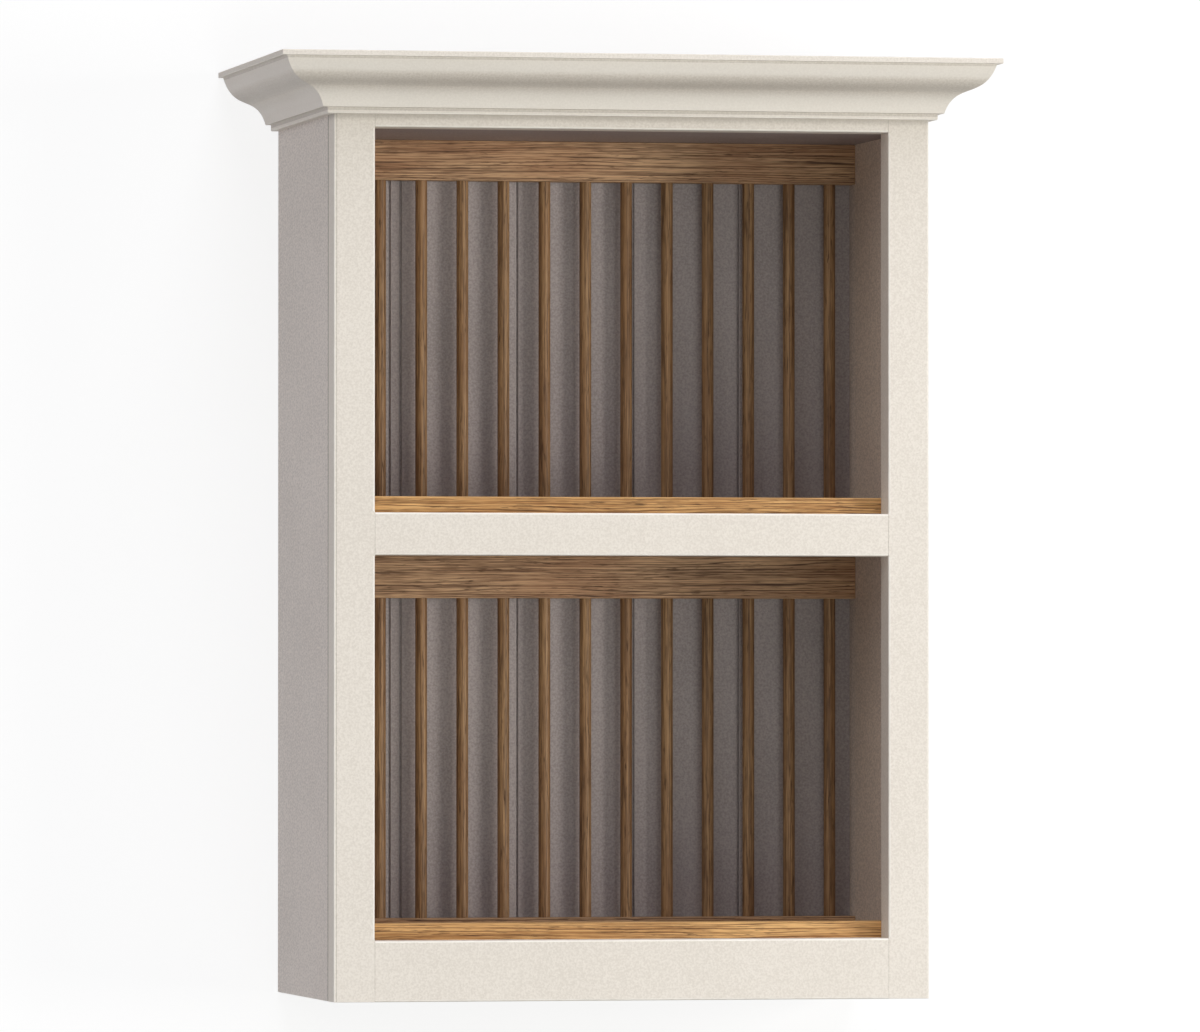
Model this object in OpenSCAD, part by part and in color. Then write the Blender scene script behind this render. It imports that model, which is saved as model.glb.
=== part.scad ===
// Two-tier wall plate rack: a face-framed cabinet, a mitred cornice and oak dowel racks.
// Sizes are in mm. X runs left to right, Y into the wall, Z up.
// The wall is the plane Y = 0, and Z = 0 is the height of the two wall screws.

/* [Cabinet] */
// Width across the side panels
body_w = 600; // [560:5:640]
// Depth from the wall to the front of the face frame
body_d = 325; // [312:1:345]
// Thickness of each side panel
side_t = 22; // [19:1:25]
// Thickness of the base, middle and top panels
panel_t = 19; // [16:1:21]
// How far a panel sits below the top of the frame rail in front of it
floor_drop = 20.5; // [17:0.5:22]
// Depth of the grooves and housings cut in the panels
housing_d = 6; // [4:0.5:8]

/* [Face frame] */
// Thickness of the face frame
frame_t = 33; // [26:1:36]
// Width of each stile
stile_w = 41; // [38:1:50]
// Height of each opening
bay_h = 379; // [330:1:420]
// Height of the bottom rail
bottom_rail_h = 60; // [50:1:75]
// Height of the middle rail
middle_rail_h = 42; // [41:1:60]
// Height of the top rail
top_rail_h = 60; // [52:1:80]
// Rounding of the outer front edges
outer_round = 1.25; // [0.75:0.25:4]
// Rounding of the edges round the openings
inner_round = 1.75; // [0.5:0.25:3]
// Chamfer along the joint between a stile and its side panel
joint_chamfer = 1.5; // [0.4:0.1:2]
// Length of each tenon
tenon_l = 25; // [18:1:30]
// Thickness of each tenon
tenon_t = 10; // [8:1:12]
// Shoulder above and below each tenon
shoulder_h = 7; // [5:1:9]

/* [Cornice] */
// How far the cornice stands out
cornice_out = 61.5; // [52:0.5:70]
// Height of the cornice
cornice_h = 59; // [52:0.5:70]
// Plain rail left visible under the cornice
cornice_reveal = 12.5; // [8:0.5:16]
// Projection of the small fillet at the bottom
base_fillet_out = 7.5; // [5:0.5:9]
// Height of the small fillet at the bottom
base_fillet_h = 6.2; // [4:0.2:9]
// Where the curve starts, measured outwards
curve_start_out = 13; // [11:0.5:16]
// Height of the flat band at the top
top_fillet_h = 5.5; // [3:0.5:8]
// Overhang of the flat band past the curve
top_fillet_out = 5; // [3:0.1:8]

/* [Back boards] */
// Thickness of each board
board_t = 12; // [10:0.5:14]
// Distance from the frame's front to the boards
board_setback = 253; // [248:1:262]
// Width of each whole board
board_pitch = 120; // [112:1:125]
// Visible width of the first board
first_board_w = 92; // [70:1:105]
// Width of the flat bead on each board
bead_w = 9.4; // [7:0.2:12]
// Rounding of the bead's edges
bead_round = 1.2; // [0.6:0.2:1.4]
// Width of the quirk on each side of the bead
quirk_w = 2; // [1:0.2:2.4]
// Depth of the two quirks
quirk_d = 3.2; // [1.6:0.2:3.4]
// Thickness of each tongue
tongue_t = 4; // [3:0.5:5]
// Length of each tongue
tongue_l = 6; // [4:0.5:8]

/* [Dowel racks] */
// Distance from the frame's front to the racks
rack_setback = 226; // [215:1:229]
// Thickness of the drilled rails, front to back
rack_rail_t = 22; // [18:1:24]
// How far the low oak rails rise above the frame rails
base_rail_rise = 16.5; // [10:0.5:30]
// How far the top oak rails hang below the frame rails
top_rail_drop = 40.5; // [34:0.5:50]
// Thickness of the front oak rails, front to back
front_rail_t = 24; // [18:1:30]
// Diameter of each dowel
dowel_d = 12; // [8:0.5:14]
// Distance from a side panel to the middle of the first dowel
dowel_end = 24.8; // [16:0.2:34]
// Depth of the holes that hold the dowels
dowel_hole_depth = 15; // [10:1:15]

/* [Fixings] */
// Diameter of the assembly screws
screw_d = 4; // [3:0.5:5]
// Diameter of a screw's head
screw_head_d = 8; // [7:0.5:9]
// Length of the screws through the panels
panel_screw_l = 36; // [32:1:38]
// Length of the screws into the cornice
cornice_screw_l = 45; // [40:1:50]
// Spacing of the screws into the front cornice
cornice_screw_gap = 200; // [150:10:240]
// Distance of the side cornice screws from the frame and from the wall
cornice_screw_inset = 70; // [40:5:110]
// Height of the cornice screws above the top panel
cornice_screw_rise = 22; // [14:1:28]
// Thickness of the two wall rails
wall_rail_t = 20; // [16:1:26]
// Height of the lower wall rail
lower_wall_rail_h = 70; // [50:1:90]
// Spacing of the two wall screws
wall_screw_gap = 400; // [300:10:440]
// Diameter of the two wall screw holes
wall_hole_d = 6.5; // [5:0.5:8]
// Height of the wall screw holes below the top of the sides
wall_hole_drop = 20; // [16:1:24]

/* [Fits] */
// Gap round a dowel in its hole
dowel_fit = 0.1; // [0.05:0.05:0.3]
// Gap round a tenon, tongue or board in its groove
joint_fit = 0.2; // [0.1:0.1:0.4]
// Gap round a screw in its hole
screw_fit = 0.1; // [0.05:0.05:0.3]

/* [Hidden] */
$fn = 48;
half_w = body_w / 2;
inner_x = half_w - side_t;
opening_x = half_w - stile_w;

// planes front to back
front_y = -body_d;
frame_back_y = front_y + frame_t;
rack_front_y = front_y + rack_setback;
dowel_y = rack_front_y + rack_rail_t / 2;
board_front_y = front_y + board_setback;
board_back_y = board_front_y + board_t;
front_rail_y = frame_back_y + front_rail_t / 2;

// heights above the bottom of the sides
bay1_low = bottom_rail_h;
bay1_high = bay1_low + bay_h;
bay2_low = bay1_high + middle_rail_h;
bay2_high = bay2_low + bay_h;
body_h = bay2_high + top_rail_h;
base_top = bay1_low - floor_drop;
base_low = base_top - panel_t;
shelf_top = bay2_low - floor_drop;
shelf_low = shelf_top - panel_t;
top_low = bay2_high;
top_top = top_low + panel_t;
hang_h = body_h - wall_hole_drop;
cornice_low = bay2_high + cornice_reveal;

// oak racks
low_rail_h = floor_drop + base_rail_rise;
rack1_low = base_top + low_rail_h;
rack1_high = bay1_high - top_rail_drop;
rack2_low = shelf_top + low_rail_h;
rack2_high = bay2_high - top_rail_drop;
dowel_r = dowel_d / 2;
dowel_hole_r = dowel_r + dowel_fit;
dowel_count = 13;
dowel_pitch = 2 * (inner_x - dowel_end) / (dowel_count - 1);
middle_dowel = (dowel_count + 1) / 2;

// fixings
screw_r = screw_d / 2;
screw_head_r = screw_head_d / 2;
screw_head_h = screw_head_r - screw_r;
panel_screw_xs = [-4.5 * dowel_pitch, 0.5 * dowel_pitch, 4.5 * dowel_pitch];
cornice_screw_xs = [-cornice_screw_gap, 0, cornice_screw_gap];
cornice_screw_ys = [frame_back_y + cornice_screw_inset, -cornice_screw_inset];
cornice_screw_z = top_top + cornice_screw_rise;
cut = 1;
inside_colour = [0.52, 0.48, 0.46];

function arc_points(cx, cy, r, a0, a1, n) =
    [for (i = [0:n]) [cx + r * cos(a0 + (a1 - a0) * i / n), cy + r * sin(a0 + (a1 - a0) * i / n)]];

// the S-curve of the cornice, from 0 to 1 both ways, with the places of its two control points
curve_steps = 18;
outward_pulls = [0.21, 0.75];
upward_pulls = [0.68, 0.24];
function s_curve(t, pulls) =
    3 * pow(1 - t, 2) * t * pulls[0] + 3 * (1 - t) * pow(t, 2) * pulls[1] + pow(t, 3);
mitre_x = half_w + cornice_out + cut;
mitre_y = front_y - cornice_out - cut;
curve_out = cornice_out - top_fillet_out - curve_start_out;
curve_h = cornice_h - top_fillet_h - base_fillet_h;
cornice_points = concat(
    [[0, 0], [base_fillet_out, 0], [base_fillet_out, base_fillet_h]],
    [for (i = [0:curve_steps]) [
        curve_start_out + curve_out * s_curve(i / curve_steps, outward_pulls),
        base_fillet_h + curve_h * s_curve(i / curve_steps, upward_pulls)
    ]],
    [[cornice_out, cornice_h - top_fillet_h], [cornice_out, cornice_h], [0, cornice_h]]
);

// plan of a stile, with the outer edge at x = 0 and the front at y = 0
stile_points = concat(
    arc_points(outer_round, outer_round, outer_round, 180, 270, 6),
    arc_points(stile_w - inner_round, inner_round, inner_round, 270, 360, 4),
    [[stile_w, frame_t], [joint_chamfer, frame_t], [0, frame_t - joint_chamfer]]
);

// plan of a side panel, with the outer face at x = 0 and the front at y = 0
side_points = [
    [joint_chamfer, 0],
    [side_t, 0],
    [side_t, -frame_back_y],
    [0, -frame_back_y],
    [0, joint_chamfer]
];

// the joints between the back boards, left to right
joint_xs = [for (i = [0:3]) -inner_x + first_board_w + i * board_pitch];
board_edge_x = inner_x + housing_d - joint_fit;
board_lefts = concat([-board_edge_x], joint_xs);
board_rights = concat(joint_xs, [board_edge_x]);

// everything below is drawn up from the bottom of the sides, then hung by the wall screws
module hung() {
    translate([0, 0, -hang_h]) children();
}

// a bar between two x positions, with its section given in y and z
module bar_x(x0, x1, points) {
    translate([x0, 0, 0]) rotate([90, 0, 90]) linear_extrude(x1 - x0) polygon(points);
}

module block(x0, x1, y0, y1, z0, z1) {
    translate([x0, y0, z0]) cube([x1 - x0, y1 - y0, z1 - z0]);
}

// a countersunk screw pointing along +Z, with its head at z = 0
module screw(length, gap) {
    cylinder(h = length + gap, r = screw_r + gap);
    cylinder(h = screw_head_h, r1 = screw_head_r + gap, r2 = screw_r + gap);
}

module base_screws(gap) {
    for (x = panel_screw_xs) {
        translate([x, front_rail_y, base_low]) screw(panel_screw_l, gap);
        translate([x, dowel_y, base_low]) screw(panel_screw_l, gap);
    }
}

module middle_screws(gap) {
    for (x = panel_screw_xs) {
        translate([x, front_rail_y, shelf_low]) screw(panel_screw_l, gap);
        translate([x, dowel_y, shelf_top]) rotate([180, 0, 0]) screw(panel_screw_l, gap);
    }
}

module ceiling_screws(gap) {
    for (x = panel_screw_xs)
        translate([x, dowel_y, top_top]) rotate([180, 0, 0]) screw(panel_screw_l, gap);
}

module cornice_fixings(gap) {
    for (x = cornice_screw_xs)
        translate([x, frame_back_y, cornice_screw_z]) rotate([90, 0, 0]) screw(cornice_screw_l, gap);
    for (y = cornice_screw_ys) {
        translate([-inner_x, y, cornice_screw_z]) rotate([0, -90, 0]) screw(cornice_screw_l, gap);
        translate([inner_x, y, cornice_screw_z]) rotate([0, 90, 0]) screw(cornice_screw_l, gap);
    }
}

// a housing in the inner face of the left side panel
module side_housing(y0, y1, low, high) {
    block(-inner_x - housing_d, -inner_x + cut, y0, y1, low, high);
}

// the left side panel; the right one is its mirror image
module side_panel() {
    difference() {
        translate([-half_w, frame_back_y, 0]) linear_extrude(body_h) polygon(side_points);
        side_housing(frame_back_y - cut, cut, base_low, base_top);
        side_housing(frame_back_y - cut, cut, top_low, top_top);
        side_housing(frame_back_y - cut, board_front_y, shelf_low, shelf_top);
        side_housing(board_front_y, board_back_y + joint_fit, base_low, top_top);
        cornice_fixings(screw_fit);
    }
}

module left_side_panel() {
    color("ivory") hung() side_panel();
}

module right_side_panel() {
    color("ivory") hung() mirror([1, 0, 0]) side_panel();
}

// the groove that holds the ends of the back boards
module board_groove(low, high) {
    block(-half_w, half_w, board_front_y, board_back_y + joint_fit, low, high);
}

module base_panel() {
    color("linen") hung() difference() {
        block(-inner_x - housing_d, inner_x + housing_d, frame_back_y, 0, base_low, base_top);
        board_groove(base_top - housing_d, base_top + cut);
        base_screws(screw_fit);
    }
}

module middle_shelf() {
    color(inside_colour) hung() difference() {
        block(-inner_x - housing_d, inner_x + housing_d, frame_back_y, board_front_y, shelf_low, shelf_top);
        middle_screws(screw_fit);
    }
}

module top_panel() {
    color("linen") hung() difference() {
        block(-inner_x - housing_d, inner_x + housing_d, frame_back_y, 0, top_low, top_top);
        board_groove(top_low - cut, top_low + housing_d);
        ceiling_screws(screw_fit);
    }
}

// plan of the bead between its two quirks, measured back from a board's right edge
function bead_points(x1) =
    let (right = x1 - quirk_w, left = right - bead_w, floor_y = board_front_y + quirk_d)
    let (round_y = board_front_y + bead_round)
    concat(
        [[left - quirk_w, board_front_y], [left - quirk_w, floor_y], [left, floor_y]],
        arc_points(left + bead_round, round_y, bead_round, 180, 270, 4),
        arc_points(right - bead_round, round_y, bead_round, 270, 360, 4),
        [[right, floor_y], [x1, floor_y]]
    );

module board_body(n) {
    x0 = board_lefts[n - 1];
    x1 = board_rights[n - 1];
    low = base_top - housing_d;
    high = top_low + housing_d - joint_fit;
    mid_y = (board_front_y + board_back_y) / 2;
    difference() {
        union() {
            translate([0, 0, low]) linear_extrude(high - low) polygon(concat(
                [[x0, board_front_y]],
                n < 5 ? bead_points(x1) : [[x1, board_front_y]],
                [[x1, board_back_y], [x0, board_back_y]]
            ));
            if (n < 5) block(x1 - cut, x1 + tongue_l, mid_y - tongue_t / 2, mid_y + tongue_t / 2, low, high);
        }
        if (n > 1) block(
            x0 - cut, x0 + tongue_l + joint_fit,
            mid_y - tongue_t / 2 - joint_fit, mid_y + tongue_t / 2 + joint_fit,
            low - cut, high + cut
        );
    }
}

module back_board_1() {
    color(inside_colour) hung() board_body(1);
}

module back_board_2() {
    color(inside_colour) hung() board_body(2);
}

module back_board_3() {
    color(inside_colour) hung() board_body(3);
}

module back_board_4() {
    color(inside_colour) hung() board_body(4);
}

module back_board_5() {
    color(inside_colour) hung() board_body(5);
}

module upper_wall_rail() {
    color("burlywood") hung() difference() {
        block(-inner_x, inner_x, -wall_rail_t, 0, top_top, body_h);
        for (x = [-wall_screw_gap / 2, wall_screw_gap / 2])
            translate([x, cut, hang_h]) rotate([90, 0, 0])
                cylinder(h = wall_rail_t + 2 * cut, d = wall_hole_d);
    }
}

module lower_wall_rail() {
    color("burlywood") hung()
        block(-inner_x, inner_x, -wall_rail_t, 0, base_top, base_top + lower_wall_rail_h);
}

// one tenon on the left end of a rail, with a gap when it is cut as a mortise
module tenon(low, high, gap) {
    mid_y = (front_y + frame_back_y) / 2;
    block(
        -opening_x - tenon_l - gap, -opening_x + cut,
        mid_y - tenon_t / 2 - gap, mid_y + tenon_t / 2 + gap,
        low + shoulder_h - gap, high - shoulder_h + gap
    );
}

module stile() {
    difference() {
        translate([-half_w, front_y, 0]) linear_extrude(body_h) polygon(stile_points);
        tenon(0, bay1_low, joint_fit);
        tenon(bay1_high, bay2_low, joint_fit);
        tenon(bay2_high, body_h, joint_fit);
    }
}

module left_stile() {
    color("floralwhite") hung() stile();
}

module right_stile() {
    color("floralwhite") hung() mirror([1, 0, 0]) stile();
}

module frame_rail(low, high) {
    bar_x(-opening_x, opening_x, concat(
        arc_points(front_y + inner_round, low + inner_round, inner_round, 180, 270, 4),
        [[frame_back_y, low], [frame_back_y, high]],
        arc_points(front_y + inner_round, high - inner_round, inner_round, 90, 180, 4)
    ));
    tenon(low, high, 0);
    mirror([1, 0, 0]) tenon(low, high, 0);
}

module bottom_frame_rail() {
    color("seashell") hung() frame_rail(0, bay1_low);
}

module middle_frame_rail() {
    color("seashell") hung() frame_rail(bay1_high, bay2_low);
}

module top_frame_rail() {
    color("seashell") hung() difference() {
        frame_rail(bay2_high, body_h);
        cornice_fixings(screw_fit);
    }
}

// the front length of cornice, cut at 45 degrees at both ends
module front_cornice() {
    color("snow") hung() difference() {
        intersection() {
            bar_x(-mitre_x, mitre_x, [for (p = cornice_points) [front_y - p[0], cornice_low + p[1]]]);
            translate([0, 0, cornice_low - cut]) linear_extrude(cornice_h + 2 * cut) polygon([
                [-half_w, front_y], [-mitre_x, mitre_y], [mitre_x, mitre_y], [half_w, front_y]
            ]);
        }
        cornice_fixings(screw_fit);
    }
}

// the left return, cut at 45 degrees at the front and square at the wall
module cornice_return() {
    difference() {
        intersection() {
            translate([-half_w, 0, cornice_low]) rotate([90, 0, 0]) linear_extrude(-mitre_y) polygon(
                [for (p = cornice_points) [-p[0], p[1]]]
            );
            translate([0, 0, cornice_low - cut]) linear_extrude(cornice_h + 2 * cut) polygon([
                [-half_w, 0], [-mitre_x, 0], [-mitre_x, mitre_y], [-half_w, front_y]
            ]);
        }
        cornice_fixings(screw_fit);
    }
}

module left_cornice() {
    color("snow") hung() cornice_return();
}

module right_cornice() {
    color("snow") hung() mirror([1, 0, 0]) cornice_return();
}

// a front oak rail, resting on a panel just behind the face frame
module front_rail(floor_z) {
    block(-inner_x, inner_x, frame_back_y, frame_back_y + front_rail_t, floor_z, floor_z + low_rail_h);
}

// a drilled oak rail, open at its top or at its underside
module drilled_rail(low, high, drilled_from_top) {
    hole_z = drilled_from_top ? high - dowel_hole_depth : low - cut;
    difference() {
        block(-inner_x, inner_x, rack_front_y, rack_front_y + rack_rail_t, low, high);
        for (i = [1:dowel_count])
            translate([(i - middle_dowel) * dowel_pitch, dowel_y, hole_z])
                cylinder(h = dowel_hole_depth + cut, r = dowel_hole_r);
    }
}

module lower_front_rail() {
    color("peru") hung() difference() {
        front_rail(base_top);
        base_screws(screw_fit);
    }
}

module lower_base_rail() {
    color("peru") hung() difference() {
        drilled_rail(base_top, rack1_low, true);
        base_screws(screw_fit);
    }
}

module lower_top_rail() {
    color("sienna") hung() difference() {
        drilled_rail(rack1_high, shelf_low, false);
        middle_screws(screw_fit);
    }
}

module upper_front_rail() {
    color("peru") hung() difference() {
        front_rail(shelf_top);
        middle_screws(screw_fit);
    }
}

module upper_base_rail() {
    color("peru") hung() drilled_rail(shelf_top, rack2_low, true);
}

module upper_top_rail() {
    color("sienna") hung() difference() {
        drilled_rail(rack2_high, top_low, false);
        ceiling_screws(screw_fit);
    }
}

module base_panel_screws() {
    color("silver") hung() base_screws(0);
}

module shelf_screws() {
    color("silver") hung() middle_screws(0);
}

module top_panel_screws() {
    color("silver") hung() ceiling_screws(0);
}

module cornice_screws() {
    color("silver") hung() cornice_fixings(0);
}

// one dowel, standing in the low rail and reaching up into the top rail
module dowel(n, low, high) {
    color("chocolate") hung() translate([(n - middle_dowel) * dowel_pitch, dowel_y, low - dowel_hole_depth])
        cylinder(h = high - low + 2 * dowel_hole_depth - joint_fit, r = dowel_r);
}

module lower_dowel(n) {
    dowel(n, rack1_low, rack1_high);
}

module upper_dowel(n) {
    dowel(n, rack2_low, rack2_high);
}

left_side_panel();
right_side_panel();
base_panel();
middle_shelf();
top_panel();
back_board_1();
back_board_2();
back_board_3();
back_board_4();
back_board_5();
upper_wall_rail();
lower_wall_rail();
left_stile();
right_stile();
bottom_frame_rail();
middle_frame_rail();
top_frame_rail();
front_cornice();
left_cornice();
right_cornice();
lower_front_rail();
lower_base_rail();
lower_top_rail();
upper_front_rail();
upper_base_rail();
upper_top_rail();
base_panel_screws();
shelf_screws();
top_panel_screws();
cornice_screws();
lower_dowel(1);  // lower_dowel_01
lower_dowel(2);  // lower_dowel_02
lower_dowel(3);  // lower_dowel_03
lower_dowel(4);  // lower_dowel_04
lower_dowel(5);  // lower_dowel_05
lower_dowel(6);  // lower_dowel_06
lower_dowel(7);  // lower_dowel_07
lower_dowel(8);  // lower_dowel_08
lower_dowel(9);  // lower_dowel_09
lower_dowel(10);  // lower_dowel_10
lower_dowel(11);  // lower_dowel_11
lower_dowel(12);  // lower_dowel_12
lower_dowel(13);  // lower_dowel_13
upper_dowel(1);  // upper_dowel_01
upper_dowel(2);  // upper_dowel_02
upper_dowel(3);  // upper_dowel_03
upper_dowel(4);  // upper_dowel_04
upper_dowel(5);  // upper_dowel_05
upper_dowel(6);  // upper_dowel_06
upper_dowel(7);  // upper_dowel_07
upper_dowel(8);  // upper_dowel_08
upper_dowel(9);  // upper_dowel_09
upper_dowel(10);  // upper_dowel_10
upper_dowel(11);  // upper_dowel_11
upper_dowel(12);  // upper_dowel_12
upper_dowel(13);  // upper_dowel_13
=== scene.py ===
# Wall plate rack: a painted face-frame cabinet with a moulded cornice and two racks of oak dowels.
# Metres, X to the right, Y back to the wall at 0, Z up from the height of the wall screws.
import math
import random
import bpy
import bmesh
from mathutils import Matrix, Vector


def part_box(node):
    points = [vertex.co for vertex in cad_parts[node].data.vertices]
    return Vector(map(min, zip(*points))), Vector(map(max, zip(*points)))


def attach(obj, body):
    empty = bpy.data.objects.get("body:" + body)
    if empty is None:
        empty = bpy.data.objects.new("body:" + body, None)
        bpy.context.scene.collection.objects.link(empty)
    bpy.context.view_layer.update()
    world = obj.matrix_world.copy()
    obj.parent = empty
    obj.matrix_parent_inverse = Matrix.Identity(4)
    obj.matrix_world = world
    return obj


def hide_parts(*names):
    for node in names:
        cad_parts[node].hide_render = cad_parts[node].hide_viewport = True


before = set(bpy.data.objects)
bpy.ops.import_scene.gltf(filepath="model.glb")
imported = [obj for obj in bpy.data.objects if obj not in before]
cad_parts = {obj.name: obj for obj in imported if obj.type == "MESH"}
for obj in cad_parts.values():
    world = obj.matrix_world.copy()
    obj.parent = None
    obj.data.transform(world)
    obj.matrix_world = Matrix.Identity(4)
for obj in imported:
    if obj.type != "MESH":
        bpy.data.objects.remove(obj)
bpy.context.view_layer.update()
print("frame loaded,", len(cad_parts), "parts")

bodyName = "root"
made = []


def lowHigh(node):
    low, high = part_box(node)
    return Vector(low), Vector(high)


# node helpers for the finishes
def emptyFinish(name):
    finish = bpy.data.materials.new(name)
    finish.use_nodes = True
    tree = finish.node_tree
    tree.nodes.clear()
    return finish, tree, tree.nodes.new("ShaderNodeOutputMaterial")


def newFinish(name):
    finish, tree, output = emptyFinish(name)
    shader = tree.nodes.new("ShaderNodeBsdfPrincipled")
    tree.links.new(shader.outputs[0], output.inputs[0])
    return finish, tree, shader


def feed(tree, socket, value):
    if isinstance(value, bpy.types.NodeSocket):
        tree.links.new(value, socket)
    else:
        socket.default_value = value


# inputs go by name, or as in0, in1 and so on where several have the same name
def addNode(tree, kind, settings=None, **inputs):
    node = tree.nodes.new(kind)
    for key, value in (settings or {}).items():
        setattr(node, key, value)
    for key, value in inputs.items():
        numbered = key.startswith("in") and key[2:].isdigit()
        feed(tree, node.inputs[int(key[2:]) if numbered else key], value)
    return node


def noiseAt(tree, where, scale, detail=2.0, rough=0.5):
    node = addNode(tree, "ShaderNodeTexNoise", Vector=where, Scale=scale, Detail=detail, Roughness=rough)
    return node.outputs["Fac"]


def stretched(tree, where, scale, shift=(0, 0, 0)):
    return addNode(tree, "ShaderNodeMapping", Vector=where, Scale=scale, Location=shift).outputs[0]


def alongScale(grain, along, across):
    return tuple(along if axis == grain else across for axis in "xyz")


def grainNoise(tree, where, grain, along, across, detail, rough, shift=(0, 0, 0)):
    where = stretched(tree, where, alongScale(grain, along, across), shift)
    return noiseAt(tree, where, 1.0, detail, rough)


# the same place, swaying sideways as it goes along the grain
def wandering(tree, where, grain, sway, along, across, detail):
    drift = stretched(tree, where, alongScale(grain, along, across))
    noise = addNode(tree, "ShaderNodeTexNoise", Vector=drift, Scale=1.0, Detail=detail)
    return addNode(tree, "ShaderNodeVectorMath", {"operation": "MULTIPLY_ADD"}, in0=noise.outputs["Color"],
                   in1=alongScale(grain, 0.0, sway), in2=where).outputs[0]


def sums(tree, how, *values):
    inputs = {"in%d" % index: value for index, value in enumerate(values)}
    return addNode(tree, "ShaderNodeMath", {"operation": how}, **inputs).outputs[0]


def times(tree, first, second):
    return sums(tree, "MULTIPLY", first, second)


def mixOf(tree, share, first, second):
    return sums(tree, "MULTIPLY_ADD", first, share, times(tree, second, 1 - share))


def rangeMap(tree, value, low, high, toLow=0.0, toHigh=1.0):
    node = addNode(tree, "ShaderNodeMapRange", {"interpolation_type": "SMOOTHSTEP"}, Value=value)
    for index, number in enumerate((low, high, toLow, toHigh)):
        node.inputs[1 + index].default_value = number
    return node.outputs[0]


def blendColour(tree, amount, first, second):
    node = addNode(tree, "ShaderNodeMix", {"data_type": "RGBA"})
    for index, value in ((0, amount), (6, first), (7, second)):
        feed(tree, node.inputs[index], (*value, 1.0) if isinstance(value, tuple) else value)
    return node.outputs[2]


def shaded(colour, amount):
    return tuple(amount * part for part in colour)


def faceMark(tree, name):
    return addNode(tree, "ShaderNodeAttribute", {"attribute_name": name}).outputs["Fac"]


def dressShader(tree, shader, colour, roughness, relief, levels):
    tree.links.new(colour, shader.inputs["Base Color"])
    tree.links.new(roughness, shader.inputs["Roughness"])
    tree.links.new(relief.outputs[0], shader.inputs["Normal"])
    for name, level in levels.items():
        shader.inputs[name].default_value = level


# In the looks a noise is its scale, detail and roughness. One that follows the grain is its scale along it,
# its scale across it, detail, roughness and a shift. A range is its two ends and what they turn into.

# eggshell paint, brushed along the timber, with the grain just showing and thin places on the arrises;
# the arrises are also lightened as painted highlight, and creases and the strip under the cornice get
# painted shade
paintLook = {
    "coat": (0.835, 0.780, 0.705),
    "dull": (0.735, 0.678, 0.603),
    "primerAndHighlight": (0.965, 0.920, 0.850),
    "crease": (0.20, 0.175, 0.15),
    "stretch": (1.0, 1.0, 1.0),
    "peelSize": 560.0,
    "peelHeight": 0.00011,
    "speckSize": 0.85,  # as a share of the peel's
    "speck": (1.5, 0.6),  # detail and roughness
    "mottle": (9.0, 3.0),
    "speckShare": 0.80,
    "toneRange": (0.32, 0.68),
    "brushMarks": (14.0, 420.0, 3.0, 0.6),
    "timber": (9.0, 190.0, 5.0, 0.7, (3.1, 1.7, 5.3)),
    "timberShare": 0.65,
    "grainHeight": 0.00006,
    "poreRange": (0.60, 0.74, 0.0, 0.12),
    "poreShade": 0.72,
    "patches": (60.0, 3.0),
    "patchRange": (0.30, 0.62, 0.60, 1.0),
    "broadHighlight": 0.99,  # a mark below this is a broad painted highlight, which is even
    "arrisWearAndHighlight": 0.92,
    "creaseDust": 0.85,
    "shadowDrop": 0.0075,  # the height of the painted shadow under the cornice
    "shadowAmount": 0.42,
    "peelShare": 0.5,
    "roughRange": (0.3, 0.7, 0.43, 0.59),
    "levels": {"Specular IOR Level": 0.35},
}
corniceLow = lowHigh("front_cornice")[0].z


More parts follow.
